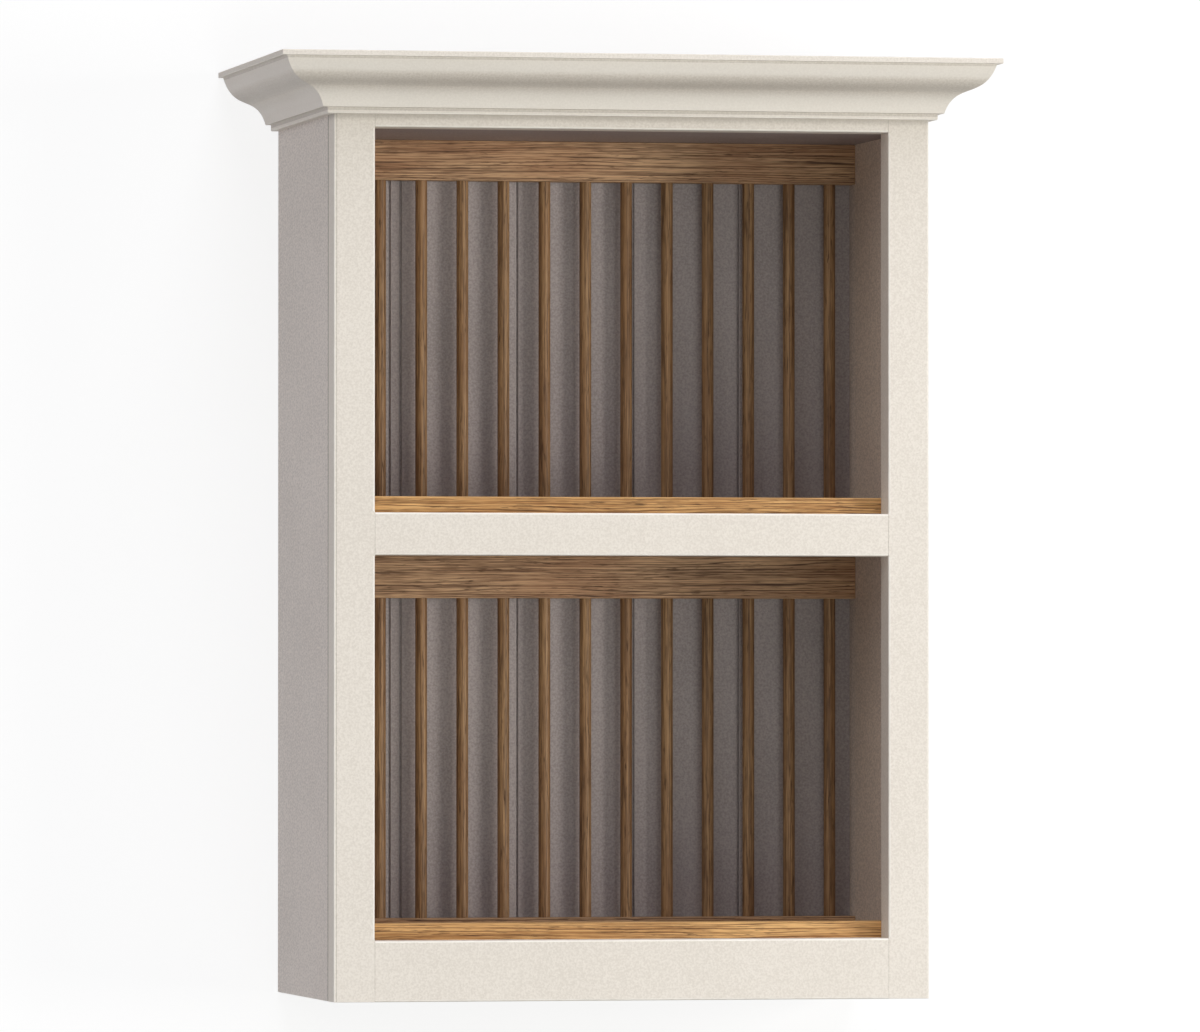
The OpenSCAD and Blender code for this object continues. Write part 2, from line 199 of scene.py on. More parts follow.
def makePaint(name, grain, look=paintLook, shadowUnderCornice=False, **changes):
    look = {**look, **changes}
    finish, tree, shader = newFinish(name)
    objectPoint = addNode(tree, "ShaderNodeTexCoord").outputs["Object"]
    where = stretched(tree, objectPoint, look["stretch"])
    mottle = noiseAt(tree, where, *look["mottle"])
    speck = noiseAt(tree, where, look["peelSize"] * look["speckSize"], *look["speck"])
    brushed = grainNoise(tree, where, grain, *look["brushMarks"])
    timber = grainNoise(tree, where, grain, *look["timber"])
    peel = noiseAt(tree, where, look["peelSize"])
    tone = rangeMap(tree, mixOf(tree, look["speckShare"], speck, mottle), *look["toneRange"])
    colour = blendColour(tree, tone, look["dull"], look["coat"])
    pores = rangeMap(tree, timber, *look["poreRange"])
    colour = blendColour(tree, pores, colour, shaded(look["dull"], look["poreShade"]))
    # the arris mark lightens the paint towards the primer colour: partly thin worn paint, partly painted
    # highlight
    arris = faceMark(tree, "arris")
    patches = rangeMap(tree, noiseAt(tree, where, *look["patches"]), *look["patchRange"])
    patches = sums(tree, "MAXIMUM", patches, sums(tree, "LESS_THAN", arris, look["broadHighlight"]))
    wearAndHighlight = times(tree, times(tree, arris, patches), look["arrisWearAndHighlight"])
    colour = blendColour(tree, wearAndHighlight, colour, look["primerAndHighlight"])
    # the crease mark darkens the paint as painted shade in joints and under overhangs
    crease = times(tree, faceMark(tree, "crease"), look["creaseDust"])
    colour = blendColour(tree, crease, colour, look["crease"])
    # painted shadow on the strip just below the cornice
    if shadowUnderCornice:
        height = addNode(tree, "ShaderNodeSeparateXYZ", Vector=objectPoint).outputs["Z"]
        overhangShade = rangeMap(tree, height, corniceLow - look["shadowDrop"], corniceLow, 0.0, look["shadowAmount"])
        overhangShade = times(tree, overhangShade, sums(tree, "LESS_THAN", height, corniceLow))
        colour = blendColour(tree, overhangShade, colour, look["crease"])
    roughness = rangeMap(tree, mixOf(tree, look["peelShare"], peel, brushed), *look["roughRange"])
    skin = addNode(tree, "ShaderNodeBump", Height=peel, Distance=look["peelHeight"], Strength=1.0)
    strokes = addNode(tree, "ShaderNodeBump", Height=mixOf(tree, look["timberShare"], timber, brushed),
                      Distance=look["grainHeight"], Strength=1.0, Normal=skin.outputs[0])
    dressShader(tree, shader, colour, roughness, strokes, look["levels"])
    return finish


# oiled oak: fine streaks, thin dark growth lines that fade in and out, short open pores, and a paler arris
# that is partly rubbed wood and partly painted highlight
oakLook = {
    "pale": (0.65, 0.405, 0.222),
    "mid": (0.195, 0.100, 0.047),
    "deep": (0.065, 0.026, 0.010),
    "russet": (0.36, 0.170, 0.078),
    "pore": (0.045, 0.022, 0.012),
    "rubbed": (0.52, 0.335, 0.19),
    "wander": 0.004,  # metres
    "wanderGrain": (5.0, 12.0, 2.0),  # without a roughness
    "streaks": (4.0, 520.0, 2.0, 0.55),
    "flecks": (45.0, 800.0, 1.0, 0.5, (5.2, 0.9, 3.3)),
    "streakShare": 0.66,
    "toneRange": (0.35, 0.65),
    "patches": (5.0, 26.0, 2.0, 0.5, (2.4, 6.6, 0.8)),
    "russetRange": (0.40, 0.62, 0.0, 0.45),
    "linesPerMetre": 310.0,
    "lineBend": (3.2, 78.0, 2.5, 0.5, (4.4, 1.2, 6.1)),
    "lineSway": 5.0,
    "lineWidth": 0.18,
    "lineDepth": 0.95,
    "fade": (11.0, 130.0, 2.0, 0.55, (7.3, 2.9, 4.1)),
    "lineFade": (0.35, 0.52),
    "vessels": (60.0, 900.0, 2.0, 0.6, (1.9, 8.3, 0.7)),
    "vesselRange": (0.54, 0.68),
    "vesselFade": (0.38, 0.60, 0.35, 1.0),
    "poreDark": 0.70,
    "poreRelief": -0.7,
    "streakRelief": 0.3,
    "poreHeight": 0.00020,
    "strength": 0.8,
    "arrisWearAndHighlight": 0.4,
    "roughRange": (0.0, 1.0, 0.48, 0.76),
    "levels": {"Specular IOR Level": 0.30},
}


def makeOak(name, grain, look=oakLook, **changes):
    look = {**look, **changes}
    finish, tree, shader = newFinish(name)
    where = addNode(tree, "ShaderNodeTexCoord").outputs["Object"]
    bend = wandering(tree, where, grain, look["wander"], *look["wanderGrain"])
    streaks = grainNoise(tree, bend, grain, *look["streaks"])
    flecks = grainNoise(tree, bend, grain, *look["flecks"])
    lineBend = grainNoise(tree, bend, grain, *look["lineBend"])
    fade = grainNoise(tree, bend, grain, *look["fade"])
    patches = grainNoise(tree, where, grain, *look["patches"])
    tone = rangeMap(tree, mixOf(tree, look["streakShare"], streaks, flecks), *look["toneRange"])
    colour = blendColour(tree, tone, look["mid"], look["pale"])
    colour = blendColour(tree, rangeMap(tree, patches, *look["russetRange"]), colour, look["russet"])
    rows = addNode(tree, "ShaderNodeVectorMath", {"operation": "DOT_PRODUCT"}, in0=bend,
                   in1=alongScale(grain, 0.0, look["linesPerMetre"])).outputs["Value"]
    ridge = sums(tree, "PINGPONG", sums(tree, "MULTIPLY_ADD", lineBend, look["lineSway"], rows), 0.5)
    lines = times(tree, rangeMap(tree, ridge, 0.0, look["lineWidth"], 1.0, 0.0),
                  rangeMap(tree, fade, *look["lineFade"]))
    colour = blendColour(tree, times(tree, lines, look["lineDepth"]), colour, look["deep"])
    vessels = grainNoise(tree, bend, grain, *look["vessels"])
    openPores = times(tree, rangeMap(tree, vessels, *look["vesselRange"]),
                      rangeMap(tree, fade, *look["vesselFade"]))
    colour = blendColour(tree, times(tree, openPores, look["poreDark"]), colour, look["pore"])
    # the arris lightens towards the paler colour: partly rubbed wood, partly painted highlight
    arris = times(tree, faceMark(tree, "arris"), look["arrisWearAndHighlight"])
    colour = blendColour(tree, arris, colour, look["rubbed"])
    roughness = rangeMap(tree, openPores, *look["roughRange"])
    raised = times(tree, streaks, look["streakRelief"])
    height = sums(tree, "MULTIPLY_ADD", openPores, look["poreRelief"], raised)
    relief = addNode(tree, "ShaderNodeBump", Height=height, Distance=look["poreHeight"],
                     Strength=look["strength"])
    dressShader(tree, shader, colour, roughness, relief, look["levels"])
    return finish


# planed softwood, left bare where the cabinet meets the wall
softwoodLook = {
    "pale": (0.74, 0.56, 0.36),
    "line": (0.52, 0.32, 0.16),
    "wander": 0.03,
    "wanderGrain": (3.0, 16.0, 1.0),
    "rings": (2.0, 150.0, 2.0, 0.4),
    "ringRange": (0.50, 0.62),
    "fibre": (30.0, 900.0, 2.0, 0.5),
    "fibreRange": (0.35, 0.75, 0.0, 0.25),
    "fibreShade": 0.7,
    "fibreShare": 0.6,
    "fibreHeight": 0.00012,
    "strength": 0.8,
    "roughRange": (0.3, 0.7, 0.60, 0.76),
    "levels": {"Specular IOR Level": 0.50},
}


def makeSoftwood(name, grain, look=softwoodLook):
    finish, tree, shader = newFinish(name)
    where = addNode(tree, "ShaderNodeTexCoord").outputs["Object"]
    bend = wandering(tree, where, grain, look["wander"], *look["wanderGrain"])
    rings = grainNoise(tree, bend, grain, *look["rings"])
    fibre = grainNoise(tree, bend, grain, *look["fibre"])
    colour = blendColour(tree, rangeMap(tree, rings, *look["ringRange"]), look["pale"], look["line"])
    colour = blendColour(tree, rangeMap(tree, fibre, *look["fibreRange"]), colour,
                         shaded(look["line"], look["fibreShade"]))
    relief = addNode(tree, "ShaderNodeBump", Height=mixOf(tree, look["fibreShare"], fibre, rings),
                     Distance=look["fibreHeight"], Strength=look["strength"])
    dressShader(tree, shader, colour, rangeMap(tree, fibre, *look["roughRange"]), relief, look["levels"])
    return finish


# bright zinc plate on the screws
zincLook = {
    "bright": (0.72, 0.71, 0.67),
    "dull": (0.55, 0.55, 0.54),
    "cloud": (900.0, 3.0),
    "cloudRange": (0.35, 0.65),
    "roughRange": (0.3, 0.7, 0.26, 0.46),
    "grit": (2600.0, 2.0),
    "gritHeight": 0.00002,
    "strength": 0.6,
    "levels": {"Metallic": 1.0},
}


def makeZinc(name, look=zincLook):
    finish, tree, shader = newFinish(name)
    where = addNode(tree, "ShaderNodeTexCoord").outputs["Object"]
    cloud = noiseAt(tree, where, *look["cloud"])
    colour = blendColour(tree, rangeMap(tree, cloud, *look["cloudRange"]), look["dull"], look["bright"])
    relief = addNode(tree, "ShaderNodeBump", Height=noiseAt(tree, where, *look["grit"]),
                     Distance=look["gritHeight"], Strength=look["strength"])
    dressShader(tree, shader, colour, rangeMap(tree, cloud, *look["roughRange"]), relief, look["levels"])
    return finish


# each finish is made for the axis that its grain follows
paintUpright = makePaint("paintUpright", "z", shadowUnderCornice=True)
paintAcross = makePaint("paintAcross", "x", shadowUnderCornice=True)
paintDeep = makePaint("paintDeep", "y")
# the side panels are a little greyer, and the speckle of their rolled paint is drawn out front to back
paintSide = makePaint("paintSide", "z", stretch=(1.0, 0.40, 1.0), coat=(0.842, 0.769, 0.707),
                      dull=(0.624, 0.569, 0.523))
# inside, the boards have a darker taupe coat and the shelf and ceiling a darker one still, partly as
# painted shade in the bays; the sides have nearly the frame's paint, warmed to paint in the light bounced
# inside the bays
insideLook = {
    **paintLook,
    "coat": (0.435, 0.377, 0.366),
    "dull": (0.312, 0.270, 0.263),
    "primerAndHighlight": (0.50, 0.45, 0.43),
    "arrisWearAndHighlight": 0.60,
    "peelSize": 520.0,
    "peelHeight": 0.00034,
}
insideBoards = makePaint("insideBoards", "z", insideLook)
insideSides = makePaint("insideSides", "z", stretch=(1.0, 0.40, 1.0), coat=(0.832, 0.714, 0.612),
                        dull=(0.615, 0.528, 0.453))
insideAcross = makePaint("insideAcross", "x", insideLook, coat=(0.318, 0.255, 0.242),
                         dull=(0.216, 0.170, 0.161))
oakAcross = makeOak("oakAcross", "x")
# the front rails are lighter and yellower, the dowels browner
oakFront = makeOak("oakFront", "x", pale=(0.80, 0.485, 0.195), mid=(0.265, 0.124, 0.037),
                   deep=(0.08, 0.029, 0.008), russet=(0.42, 0.20, 0.066), rubbed=(0.66, 0.40, 0.160))
oakUpright = makeOak("oakUpright", "z", pale=(0.43, 0.255, 0.122), mid=(0.165, 0.088, 0.037),
                     deep=(0.070, 0.030, 0.012), russet=(0.22, 0.105, 0.042), rubbed=(0.34, 0.20, 0.095),
                     lineDepth=0.6, wander=0.002)
bareTimber = makeSoftwood("bareTimber", "x")
screwZinc = makeZinc("screwZinc")
print("finishes ready")

meshing = {"weld": 0.000002, "sharpAngle": 50, "normalWeight": 80, "facing": 0.5}
joint = {"play": 0.0002, "overcut": 0.001, "runOut": 0.01}  # room in a joint, and how far cutters overshoot


# An outline is a list of 2D points, and each of its edges has a mark: 1 on an arris lightened by wear and
# painted highlight, down to -1 for painted shade in a crease. Seams gives such marks to rounded corners,
# grooves to the edge after a corner.
def softOutline(points, radii, steps, seams=None, grooves=None):
    outline, marks, seams, grooves = [], [], seams or {}, grooves or {}
    for index, corner in enumerate(points):
        corner = Vector(corner)
        radius = radii[index] if isinstance(radii, (list, tuple)) else radii
        after = grooves.get(index, 0.0)
        if radius <= 0:
            outline.append((corner.x, corner.y))
            marks.append(after)
            continue
        back = (Vector(points[index - 1]) - corner).normalized()
        ahead = (Vector(points[(index + 1) % len(points)]) - corner).normalized()
        half = back.angle(ahead) / 2
        centre = corner + (back + ahead).normalized() * radius / math.sin(half)
        first = corner + back * radius / math.tan(half) - centre
        last = corner + ahead * radius / math.tan(half) - centre
        startAngle = math.atan2(first.y, first.x)
        turn = (math.atan2(last.y, last.x) - startAngle + math.pi) % (2 * math.pi) - math.pi
        for step in range(steps + 1):
            angle = startAngle + turn * step / steps
            outline.append((centre.x + radius * math.cos(angle), centre.y + radius * math.sin(angle)))
            marks.append(after if step == steps else seams.get(index, 1.0))
    return outline, marks


# sharpest keeps a corner from running far out where it is very sharp
def insetOutline(outline, distance, sharpest=0.35):
    area = sum(a[0] * b[1] - b[0] * a[1] for a, b in zip(outline, outline[1:] + outline[:1]))
    side = 1 if area > 0 else -1
    moved = []
    for index, point in enumerate(outline):
        before, after = outline[index - 1], outline[(index + 1) % len(outline)]
        edgeIn = Vector((point[0] - before[0], point[1] - before[1])).normalized()
        edgeOut = Vector((after[0] - point[0], after[1] - point[1])).normalized()
        normalIn = Vector((-edgeIn.y, edgeIn.x)) * side
        normalOut = Vector((-edgeOut.y, edgeOut.x)) * side
        push = (normalIn + normalOut) / max(sharpest, 1 + normalIn.dot(normalOut)) * distance
        moved.append((point[0] + push.x, point[1] + push.y))
    return moved


# one solid bar through a row of stations: each is a position, an outline and maybe marks of its own
def barMesh(stations, marks, place, endMarks=None):
    bm = bmesh.new()
    arris = bm.faces.layers.float.new("arris")
    crease = bm.faces.layers.float.new("crease")
    rings = [[bm.verts.new(place(a, b, station[0])) for a, b in station[1]] for station in stations]
    count = len(rings[0])
    for gap, (ring, following) in enumerate(zip(rings, rings[1:])):
        gapMarks = stations[gap][2] if len(stations[gap]) > 2 else marks
        for index in range(count):
            after = (index + 1) % count
            face = bm.faces.new((ring[index], ring[after], following[after], following[index]))
            # a positive mark goes to the arris layer (wear and painted highlight), a negative one to the
            # painted shade layer
            mark = endMarks[gap] if endMarks and endMarks[gap] else gapMarks[index]
            face[arris], face[crease] = max(mark, 0.0), max(-mark, 0.0)
    bm.faces.new(list(reversed(rings[0])))
    bm.faces.new(rings[-1])
    bmesh.ops.remove_doubles(bm, verts=bm.verts, dist=meshing["weld"])
    bmesh.ops.dissolve_degenerate(bm, edges=bm.edges, dist=meshing["weld"])
    bmesh.ops.recalc_face_normals(bm, faces=bm.faces)
    return bm


# which way an outline is drawn out: up from its plan, or to the right from its end view
def standing(a, b, s):
    return a, b, s


def lying(a, b, s):
    return s, a, b


# a straight bar with rounded ends; middle holds stations where its section changes
def straightBar(outline, marks, start, end, place, endRound, steps=2, middle=(), endMark=1.0):
    rounding = []
    for step in range(steps + 1):
        angle = math.pi / 2 * step / steps
        inward, inset = endRound * (1 - math.cos(angle)), endRound * (1 - math.sin(angle))
        rounding.append((inward, insetOutline(outline, inset)))
    stations = [(start + inward, section) for inward, section in rounding]
    stations += middle
    stations += [(end - inward, section) for inward, section in reversed(rounding)]
    gaps = len(stations) - 1
    endMarks = [endMark if gap < steps or gap >= gaps - steps else 0.0 for gap in range(gaps)]
    return barMesh(stations, marks, place, endMarks)


def endView(low, high):
    return [(low.y, low.z), (high.y, low.z), (high.y, high.z), (low.y, high.z)]


def boxBar(low, high, radius, steps=3):
    outline, marks = softOutline(endView(low, high), radius, steps)
    return straightBar(outline, marks, low.x, high.x, lying, radius, steps)


# rings of (height, radius) round an axis
def turned(bm, rings, matrix, sides):
    angles = [2 * math.pi * step / sides for step in range(sides)]
    loops = []
    for height, radius in rings:
        points = [Vector((radius * math.cos(angle), radius * math.sin(angle), height)) for angle in angles]
        loops.append([bm.verts.new(matrix @ point) for point in points])
    for ring, following in zip(loops, loops[1:]):
        for index in range(sides):
            after = (index + 1) % sides
            bm.faces.new((ring[index], ring[after], following[after], following[index]))
    bm.faces.new(list(reversed(loops[0])))
    bm.faces.new(loops[-1])
    bmesh.ops.recalc_face_normals(bm, faces=bm.faces)


def boxCutter(*boxes):
    bm = bmesh.new()
    for low, high in boxes:
        low, high = Vector(low), Vector(high)
        matrix = Matrix.Translation((low + high) / 2) @ Matrix.Diagonal((*(high - low), 1))
        bmesh.ops.create_cube(bm, size=1, matrix=matrix)
    return bm


def asMesh(name, bm):
    mesh = bpy.data.meshes.new(name)
    bm.to_mesh(mesh)
    bm.free()
    return mesh


def asObject(name, bm):
    result = bpy.data.objects.new(name, asMesh(name, bm))
    bpy.context.scene.collection.objects.link(result)
    return result


def addMesh(bm, mesh):
    bm.from_mesh(mesh)
    bpy.data.meshes.remove(mesh)


# takes a closed cutter away from a piece for good
def cutAway(piece, cutterMesh):
    cutter = asObject("cutter", cutterMesh)
    cut = piece.modifiers.new("cut", "BOOLEAN")
    cut.operation, cut.solver, cut.object = "DIFFERENCE", "MANIFOLD", cutter
    depsgraph = bpy.context.evaluated_depsgraph_get()
    result = bpy.data.meshes.new_from_object(piece.evaluated_get(depsgraph))
    piece.modifiers.clear()
    piece.data = result
    bpy.data.objects.remove(cutter)


def addPiece(node, ending, bm, finishes, cutters=(), chooseFinish=None):
    piece = asObject(node + ending, bm)
    for cutter in cutters:
        cutAway(piece, cutter)
    piece.data.materials.clear()
    for finish in finishes:
        piece.data.materials.append(finish)
    bm = bmesh.new()
    bm.from_mesh(piece.data)
    bmesh.ops.remove_doubles(bm, verts=bm.verts, dist=meshing["weld"])
    if bm.calc_volume(signed=True) < 0:  # a cut can turn a piece inside out
        bmesh.ops.reverse_faces(bm, faces=bm.faces)
    for face in bm.faces:
        face.material_index = chooseFinish(face.normal, face.calc_center_median()) if chooseFinish else 0
        face.smooth = True
    sharp = math.radians(meshing["sharpAngle"])
    for edge in bm.edges:
        edge.smooth = len(edge.link_faces) == 2 and edge.calc_face_angle(0) < sharp
    bm.to_mesh(piece.data)
    bm.free()
    tidyNormals = piece.modifiers.new("tidyNormals", "WEIGHTED_NORMAL")
    tidyNormals.keep_sharp = True
    tidyNormals.weight = meshing["normalWeight"]
    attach(piece, bodyName)
    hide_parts(node)
    made.append(piece)


boardLow, boardHigh = lowHigh("back_board_2")
shelfLow, shelfHigh = lowHigh("middle_shelf")
baseLow, baseHigh = lowHigh("base_panel")
ceilingLow, ceilingHigh = lowHigh("top_panel")
dowelLow, dowelHigh = lowHigh("lower_dowel_01")
dowelXs = [sum(corner.x for corner in lowHigh("lower_dowel_%02d" % n)) / 2 for n in range(1, 14)]
dowelY = (dowelLow.y + dowelHigh.y) / 2
frontRailY = sum(corner.y for corner in lowHigh("lower_front_rail")) / 2

# countersunk screws with a cross recess and a coarse thread
screw = {
    "radius": 0.002, "head": 0.004, "sink": 0.00015, "clearance": 0.0001, "sides": 24,
    "panelLength": 0.036, "corniceLength": 0.045,
    "panelPlaces": (-4.5, 0.5, 4.5),  # in dowel gaps from the middle dowel
    "frontXs": (-0.2, 0.0, 0.2), "sideYs": (-0.222, -0.070), "rise": 0.022,  # behind the cornice
    "rim": 0.0002, "rimHeight": 0.0005, "recess": (0.0045, 0.0009, 0.0016),
    "threadStart": 0.35, "threadEnd": 0.006, "threadPitch": 0.0018,  # the start is a share of the length
    "thread": ((0.0004, 0.72), (0.0010, 0.72), (0.0014, 0.99)),  # rise and share of the radius
    "tip": ((0.003, 0.6), (0.0, 0.12)),  # distance from the end and share of the radius
}


# where a turned shape goes, and which way its axis is turned from upright
def aimed(x, y, z, turn=0.0, axis="X"):
    return Matrix.Translation((x, y, z)) @ Matrix.Rotation(turn, 4, axis)


halfTurn, quarterTurn = math.pi, math.pi / 2
panelXs = [dowelXs[6] + gaps * (dowelXs[1] - dowelXs[0]) for gaps in screw["panelPlaces"]]
innerX, frameBackY = lowHigh("right_side_panel")[0].x, lowHigh("top_frame_rail")[1].y
fixingZ = ceilingHigh.z + screw["rise"]
frontFixings = [aimed(x, frameBackY, fixingZ, quarterTurn) for x in screw["frontXs"]]
sideFixings = {side: [aimed(side * innerX, y, fixingZ, side * quarterTurn, "Y") for y in screw["sideYs"]]
               for side in (-1, 1)}
screwPlaces = {
    "base_panel_screws": [aimed(x, y, baseLow.z) for x in panelXs for y in (frontRailY, dowelY)],
    "shelf_screws": [aimed(x, frontRailY, shelfLow.z) for x in panelXs]
    + [aimed(x, dowelY, shelfHigh.z, halfTurn) for x in panelXs],
    "top_panel_screws": [aimed(x, dowelY, ceilingHigh.z, halfTurn) for x in panelXs],
    "cornice_screws": frontFixings + sideFixings[-1] + sideFixings[1],
}


def screwHoles(matrices, length):
    holes = bmesh.new()
    radius, head = screw["radius"] + screw["clearance"], screw["head"] + screw["clearance"]
    rings = [(-joint["overcut"], head), (screw["sink"], head), (screw["sink"] + head - radius, radius),
             (length + joint["play"], radius)]
    for matrix in matrices:
        turned(holes, rings, matrix, screw["sides"])
    return holes


def screwMesh(length):
    head, radius, rim = screw["head"], screw["radius"], screw["rim"]
    z = length * screw["threadStart"]
    rings = [(0, head - rim), (rim, head), (screw["rimHeight"], head - rim), (head - radius, radius),
             (z, radius)]
    while z < length - screw["threadEnd"]:
        rings += [(z + rise, radius * share) for rise, share in screw["thread"]]
        z += screw["threadPitch"]
    rings += [(length - back, radius * share) for back, share in screw["tip"]]
    bm = bmesh.new()
    turned(bm, rings, Matrix.Identity(4), screw["sides"])
    blank = asObject("screw", bm)
    wide, narrow, deep = screw["recess"]
    for halfX, halfY in ((wide / 2, narrow / 2), (narrow / 2, wide / 2)):
        cutAway(blank, boxCutter(((-halfX, -halfY, -joint["overcut"]), (halfX, halfY, deep))))
    result = blank.data
    result.transform(Matrix.Translation((0, 0, screw["sink"])))
    bpy.data.objects.remove(blank)
    return result


def outerInner(low, high, side):
    return (low.x, high.x) if side < 0 else (high.x, low.x)


# side panels, with a chamfer painted dark as shade where they meet the stiles, and housings for the panels
# and boards
sidePanel = {
    "arris": 0.0008, "backArris": 0.0006, "jointArris": 0.0002, "jointChamfer": 0.0015, "jointDust": -1.0,
    "housing": 0.006, "steps": 3,
}
for side, name in ((-1, "left_side_panel"), (1, "right_side_panel")):
    low, high = lowHigh(name)
    outer, inner = outerInner(low, high, side)
    chamfer = sidePanel["jointChamfer"]
    corners = [(outer - side * chamfer, low.y), (inner, low.y), (inner, high.y), (outer, high.y),
               (outer, low.y + chamfer)]
    radii = [0, 0, sidePanel["backArris"], sidePanel["arris"], sidePanel["jointArris"]]
    shadedEdge = {4: sidePanel["jointDust"]}
    outline, marks = softOutline(corners, radii, sidePanel["steps"], shadedEdge, shadedEdge)
    bm = straightBar(outline, marks, low.z, high.z, standing, sidePanel["backArris"])
    reach = sorted((inner - side * joint["overcut"], inner + side * sidePanel["housing"]))
    before, behind = low.y - joint["runOut"], joint["runOut"]
    boardsZ = (baseLow.z + joint["overcut"], ceilingHigh.z - joint["overcut"])
    housings = [((before, baseLow.z), (behind, baseHigh.z)),
                ((before, ceilingLow.z), (behind, ceilingHigh.z)),
                ((before, shelfLow.z), (shelfHigh.y, shelfHigh.z)),
                ((boardLow.y, boardsZ[0]), (boardHigh.y + joint["play"], boardsZ[1]))]
    cutters = [boxCutter(((reach[0], *start), (reach[1], *end))) for start, end in housings]
    cutters.append(screwHoles(sideFixings[side], screw["corniceLength"]))

    def inTheBays(normal, centre, side=side):
        return normal.x * side < -meshing["facing"] and baseLow.z < centre.z < ceilingHigh.z

    addPiece(name, "_painted", bm, [paintSide, insideSides], cutters, inTheBays)
print("side panels")

# floor, shelf and ceiling of the two bays; the floor and the ceiling are grooved for the boards, and their
# outer faces have the frame's paint
panel = {"arris": 0.0006, "boardGroove": 0.006}
for name, screwNode, outward in (("base_panel", "base_panel_screws", -1),
                                 ("middle_shelf", "shelf_screws", 0),
                                 ("top_panel", "top_panel_screws", 1)):
    low, high = lowHigh(name)
    cutters = [screwHoles(screwPlaces[screwNode], screw["panelLength"])]
    if outward:
        insideZ = low.z if outward > 0 else high.z
        floor, top = sorted((insideZ + outward * panel["boardGroove"], insideZ - outward * joint["runOut"]))
        cutters.append(boxCutter(((low.x - joint["runOut"], boardLow.y, floor),
                                  (high.x + joint["runOut"], boardHigh.y + joint["play"], top))))
    addPiece(name, "_painted", boxBar(low, high, panel["arris"]), [insideAcross, paintAcross],
             cutters,
             lambda normal, centre, outward=outward: normal.z * outward > meshing["facing"])
print("panels")

# tongued back boards, each with a flat bead between two quirks down its right edge
backBoard = {
    "bead": 0.0094, "beadRound": 0.0012, "quirk": 0.0020, "depth": 0.0032, "arris": 0.0004, "steps": 4,
    "tongue": 0.006, "tongueHalf": 0.002, "fit": 0.0002, "endArris": 0.0003,
    "backFacing": 0.9, "backDepth": 0.001,  # faces this near the back have the frame's paint
}


def boardOutline(low, high, beaded, grooved):
    bead, beadRound, quirk, depth = (backBoard[key] for key in ("bead", "beadRound", "quirk", "depth"))
    arris, tongue, half, fit = (backBoard[key] for key in ("arris", "tongue", "tongueHalf", "fit"))
    left, front, back = low.x, low.y, high.y
    right = high.x - (tongue if beaded else 0)
    middle = (front + back) / 2
    corners = [(left, front, arris)]
    if beaded:
        floor, beadRight = front + depth, right - quirk
        beadLeft = beadRight - bead
        corners += [
            (beadLeft - quirk, front, arris), (beadLeft - quirk, floor, 0), (beadLeft, floor, 0),
            (beadLeft, front, beadRound), (beadRight, front, beadRound), (beadRight, floor, 0),
            (right, floor, 0), (right, middle - half, 0), (right + tongue, middle - half, arris),
            (right + tongue, middle + half, arris), (right, middle + half, 0),
        ]
    else:
        corners.append((right, front, 0))
    corners += [(right, back, 0), (left, back, 0)]
    if grooved:
        wide, deep = half + fit, left + tongue + fit
        corners += [(left, middle + wide, 0), (deep, middle + wide, 0), (deep, middle - wide, 0),
                    (left, middle - wide, 0)]
    points, radii = [corner[:2] for corner in corners], [corner[2] for corner in corners]
    return softOutline(points, radii, backBoard["steps"])


for number in range(1, 6):
    name = "back_board_%d" % number
    low, high = lowHigh(name)
    outline, marks = boardOutline(low, high, beaded=number < 5, grooved=number > 1)
    bm = straightBar(outline, marks, low.z, high.z, standing, backBoard["endArris"], steps=1)

    def atTheBack(normal, centre, back=high.y):
        return normal.y > backBoard["backFacing"] and centre.y > back - backBoard["backDepth"]

    addPiece(name, "_beaded", bm, [insideBoards, paintUpright], (), atTheBack)
print("back boards")

# wall rails of bare softwood; the upper one is drilled for the wall screws, with eased mouths
wallRail = {
    "arris": 0.0012, "screwSpacing": 0.400, "hole": 0.0065, "holeDepth": 0.030, "holeSides": 40,
    "mouthStart": 0.0012, "mouthEnd": 0.0022, "mouthFlare": 0.0010, "mouthPlace": 0.0017,
}
for name in ("upper_wall_rail", "lower_wall_rail"):
    low, high = lowHigh(name)
    cutters = []
    if name == "upper_wall_rail":
        holes = bmesh.new()
        radius = wallRail["hole"] / 2
        rings = [(-wallRail["holeDepth"], radius), (wallRail["mouthStart"], radius),
                 (wallRail["mouthEnd"], radius + wallRail["mouthFlare"])]
        for x in (-wallRail["screwSpacing"] / 2, wallRail["screwSpacing"] / 2):
            matrix = aimed(x, low.y + wallRail["mouthPlace"], 0, quarterTurn)
            turned(holes, rings, matrix, wallRail["holeSides"])
        cutters.append(holes)
    addPiece(name, "_planed", boxBar(low, high, wallRail["arris"]), [bareTimber], cutters)
print("wall rails")

# stiles: a soft outer edge, an arris round the openings lightened by wear and painted highlight,
# tight where the rails butt against them, with painted shade there
stile = {
    "outerRound": 0.00125, "openingArris": 0.00175, "openingEase": 0.0016, "backArris": 0.0006,
    "jointArris": 0.00025, "jointDust": -0.3,  # painted shade where the rails meet it
    "sideArris": 0.0002, "sideChamfer": 0.0015, "sideShade": -1.0,  # painted shade where the side panel meets it
    "edgeLine": (0.0021, 0.0009, 0.0004), "edgeLineDust": -0.4,  # start, width and depth; the hairline is painted with shade
    "mortise": (0.025, 0.010, 0.007),  # length, thickness and shoulder
    "steps": 5,
}
railNames = ("bottom_frame_rail", "middle_frame_rail", "top_frame_rail")


